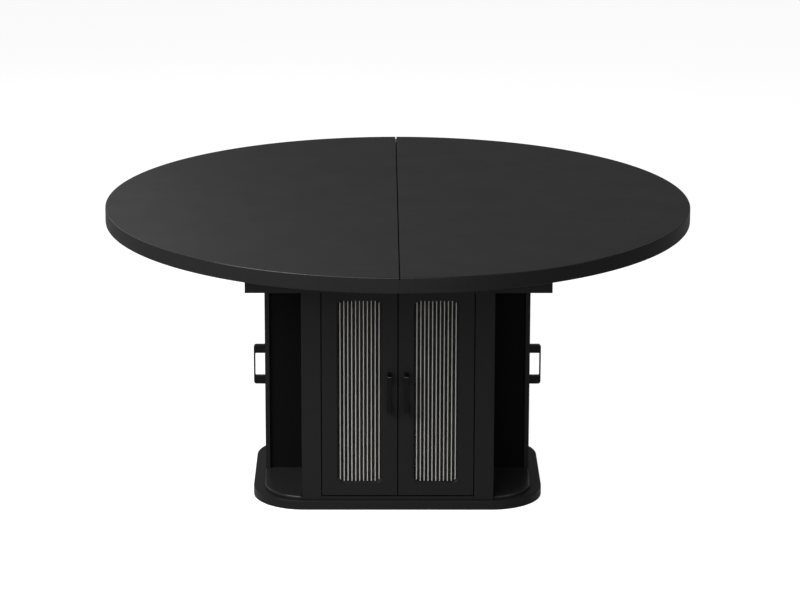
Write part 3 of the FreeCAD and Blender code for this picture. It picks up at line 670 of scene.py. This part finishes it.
def make_pull():
    """The pull of the front right door: a cast D, 12 mm wide, its edges tumbled round."""
    x, half_width, foot = PULL["x"], PULL["half_width"], DOOR["front"]
    low, high = PULL["z"] - PULL["half_height"], PULL["z"] + PULL["half_height"]
    front = foot - PULL["reach"]
    bar, leg, side_reach = 4, 23, half_width + 3
    pull = start_box("pull_front_right", (x - half_width, x + half_width), (foot, front), (low, high))
    round_edges(pull, PULL["bend"], 8, lambda a, b: abs(a.y - front) < SAME and runs_across(a, b))
    gap = start_box("gap", (x - side_reach, x + side_reach), (foot + PAST, front + bar),
                    (low + leg, high - leg))
    round_edges(gap, 2, 4, lambda a, b: a.y < foot and runs_across(a, b))
    cut(pull, gap)
    soften(pull, 1.2, 3)
    return pull


def dress_pane(sheet, reeds, node):
    """Clear glass, with a painted highlight on the crown of each reed only, about 2.6 mm wide."""
    dress(sheet, node, clear_glass)
    dress(reeds, node, clear_glass)
    crown, within_34_degrees = 0.3 - PANE["front"], math.cos(math.radians(34))
    # The crowns get the painted highlight's pale grey
    refinish(reeds, painted_reed_highlight,
             lambda centre, normal: abs(centre.y) > crown and abs(normal.y) > within_34_degrees)


def dress_pull(pull, node):
    """The coat all over, and the polished coat on the two outer bends, but not on flat faces."""
    dress(pull, node, powder_coat)
    straight = PULL["half_height"] - PULL["bend"]

    def on_bend(centre, normal):
        return abs(centre.z - PULL["z"]) > straight and 0.1 < abs(normal.z) < 0.97

    refinish(pull, polished_bend, on_bend)


def furnish_doors():
    """Four doors with their panes and pulls, all from one pattern, and the pulls of the side racks."""
    door, sheet, reeds, pull = make_door(), make_pane(), make_reeds(), make_pull()
    sets = {"front_right": (door, sheet, reeds, pull)}
    for face, y in FACES.items():
        for side, x in SIDES.items():
            place = face + "_" + side
            if place not in sets:
                sets[place] = (copy_of(door, "door_" + place + "_frame", x, -y),
                               copy_of(sheet, "pane_" + place + "_sheet", x, -y),
                               copy_of(reeds, "pane_" + place + "_reeds", x, -y),
                               copy_of(pull, "pull_" + place, x, -y))
    for side, x in SIDES.items():
        move = (x * (RACK_CAP_FACE + DOOR["front"]), -x * PULL["x"], 0)
        dress_pull(turned_copy(pull, "rack_pull_" + side, 90 * x, move), "rack_handle_" + side)
    for place, (frame_board, glass, ribs, grip) in sets.items():
        dress(frame_board, "door_" + place, melamine)
        dress_pane(glass, ribs, "pane_" + place)
        dress_pull(grip, "handle_" + place)


furnish_doors()


# The side racks


def make_tray(side):
    """A thin board beside the cabinet: large corners like the plinth's, its outer rim rounded."""
    x = SIDES[side]
    half_length, half_depth, bottom, top, corner, inner = 349, 247, 26, 32, 115, 250
    tray = start_box("rack_tray_board_" + side, (-half_length, half_length),
                     (-half_depth, half_depth), (bottom, top))
    round_edges(tray, corner, 24, is_upright)
    keep_side(tray, (x * inner, 0, 0), (x, 0, 0))
    round_edges(tray, 2.5, 4,
                lambda a, b: at_height(a, b, top) and x * (a.x + b.x) / 2 > inner + NEAR)
    # The lacquer's grey base is painted light
    dress(tray, "rack_tray_" + side, painted_light_lacquer)


for side in SIDES:
    make_tray(side)


# Plinth


def make_plinth():
    """The base board: large rounded corners, its top rim milled round."""
    half_length, half_depth, height, corner = 378, 260, 25, 136
    plinth = start_box("plinth_board", (-half_length, half_length), (-half_depth, half_depth),
                       (0, height))
    round_edges(plinth, corner, 28, is_upright)
    round_edges(plinth, 2, 4, lambda a, b: at_height(a, b, height))
    soften(plinth, 0.6)
    dress(plinth, "plinth", melamine)


make_plinth()


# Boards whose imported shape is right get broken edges


def ease_board(node, finish):
    """A copy of a node with its triangles merged into flat faces and its sharp edges broken."""
    board = bpy.data.objects.new(node + "_board", frame["nodes"][node].data.copy())
    bpy.context.scene.collection.objects.link(board)
    edit_all(board)
    bpy.ops.mesh.remove_doubles(threshold=mm(SAME))
    bpy.ops.mesh.dissolve_limited(angle_limit=math.radians(1))
    bpy.ops.object.mode_set(mode="OBJECT")
    soften(board, 0.6)
    dress(board, node, finish)


OUTER_BOARDS = ["apron_front", "apron_rear", "apron_ends", "cabinet_floor", "cabinet_top",
                "leaf_panel_lower", "leaf_panel_upper", "friezes", "rack_cap_left", "rack_cap_right",
                "post_front_left", "post_front_right", "post_rear_left", "post_rear_right"]
# These boards take the deeper black, painted shade for the niches and the cabinet's inside
INNER_BOARDS = ["side_boards_left", "side_boards_right", "pocket_walls", "shelves",
                "rack_divider_left", "rack_divider_right", "box_floor"]
BEECH_BOARDS = ["bearers_left", "bearers_right", "corner_blocks"]
for names, finish in ((OUTER_BOARDS, melamine), (INNER_BOARDS, painted_shade_black), (BEECH_BOARDS, beech)):
    for name in names:
        ease_board(name, finish)


# Camera, light and floor

# Azimuth and elevation in degrees, distance, width and height in metres, power in watts
SOFTBOXES = {
    "key": (-25, 35, 5.0, 3.0, 3.0, 150),
    "low_front": (0, 12, 5.0, 3.0, 1.5, 60),
    "near_left": (-50, 30, 2.8, 1.5, 1.5, 77),
    "fill_right": (60, 35, 5.0, 3.0, 3.0, 52),
    "back_left": (-150, 35, 5.0, 3.0, 3.0, 25),
    "back": (180, 25, 5.0, 4.0, 2.0, 9.5),
}


def make_camera():
    """The photograph's view: from 7.8 m in front and 2.7 m up, a long lens that looks down."""
    data = bpy.data.cameras.new("camera")
    data.sensor_width = 36
    data.lens = 137.5
    data.shift_x = 0.031
    data.shift_y = -0.1
    looks_down, turned = math.radians(14.28), math.radians(0.034)
    camera = bpy.data.objects.new("camera", data)
    camera.location = mm(-54, -7756, 2684)
    camera.rotation_euler = (math.radians(90) - looks_down, 0, turned)
    bpy.context.scene.collection.objects.link(camera)
    bpy.context.scene.camera = camera


def make_softbox(name, azimuth, elevation, distance, width, height, power):
    """A rectangular soft light that looks at the table's middle; azimuth 0 is the camera's side."""
    data = bpy.data.lights.new(name, "AREA")
    data.shape = "RECTANGLE"
    data.size = width
    data.size_y = height
    data.energy = power
    light = bpy.data.objects.new(name, data)
    a, e = math.radians(azimuth), math.radians(elevation)
    away = Vector((math.sin(a) * math.cos(e), -math.cos(a) * math.cos(e), math.sin(e)))
    middle = mm(0, 0, 450)
    light.location = middle + away * distance
    light.rotation_euler = away.to_track_quat("Z", "Y").to_euler()
    bpy.context.scene.collection.objects.link(light)


def make_world():
    """A trace of grey light from all round, so that no recess is quite black."""
    world = bpy.data.worlds.new("studio")
    world.use_nodes = True
    tree = world.node_tree
    tree.nodes.clear()
    light = add(tree, "ShaderNodeBackground", {"Color": linear("#ffffff"), "Strength": 0.01})
    add(tree, "ShaderNodeOutputWorld", {"Surface": light.outputs["Background"]})
    bpy.context.scene.world = world


def make_studio_white():
    """White studio paint: it keeps the table's soft shadow, and looks white by eye.

    In gloss and through glass it is a pale grey, so that the black finishes stay black.
    """
    white_by_eye, white_in_gloss = 0.93, 0.18
    material, tree = new_material("white_studio_paint")
    path = add(tree, "ShaderNodeLightPath")
    bent = add(tree, "ShaderNodeMath", {
        0: path.outputs["Is Glossy Ray"], 1: path.outputs["Is Transmission Ray"]},
        operation="ADD", use_clamp=True)
    mirrored = add(tree, "ShaderNodeMath", {0: bent.outputs[0], 1: white_in_gloss}, operation="MULTIPLY")
    direct = add(tree, "ShaderNodeMath", {
        0: path.outputs["Is Camera Ray"], 1: white_by_eye}, operation="MULTIPLY")
    level = add(tree, "ShaderNodeMath", {0: mirrored.outputs[0], 1: direct.outputs[0]}, operation="ADD")
    matt = add(tree, "ShaderNodeBsdfDiffuse", {"Color": linear("#a0a0a0")})
    glow = add(tree, "ShaderNodeEmission", {"Color": linear("#ffffff"), "Strength": level.outputs[0]})
    paint = add(tree, "ShaderNodeAddShader", {0: matt.outputs["BSDF"], 1: glow.outputs["Emission"]})
    add(tree, "ShaderNodeOutputMaterial", {"Surface": paint.outputs["Shader"]})
    return material


def make_floor():
    """A round studio floor, 60 m across, whose rim turns up into a white wall 6 m high."""
    radius, wall = 30, 6
    bpy.ops.object.select_all(action="DESELECT")
    bpy.ops.mesh.primitive_circle_add(vertices=96, radius=radius, fill_type="NGON")
    floor = bpy.context.object
    floor.name = "floor"
    edit_all(floor)
    bpy.ops.mesh.extrude_edges_move(TRANSFORM_OT_translate={"value": (0, 0, wall)})
    bpy.ops.object.mode_set(mode="OBJECT")
    floor.data.materials.append(make_studio_white())


make_camera()
make_world()
make_floor()
for name, values in SOFTBOXES.items():
    make_softbox(name, *values)
bpy.context.scene.view_settings.view_transform = "Standard"
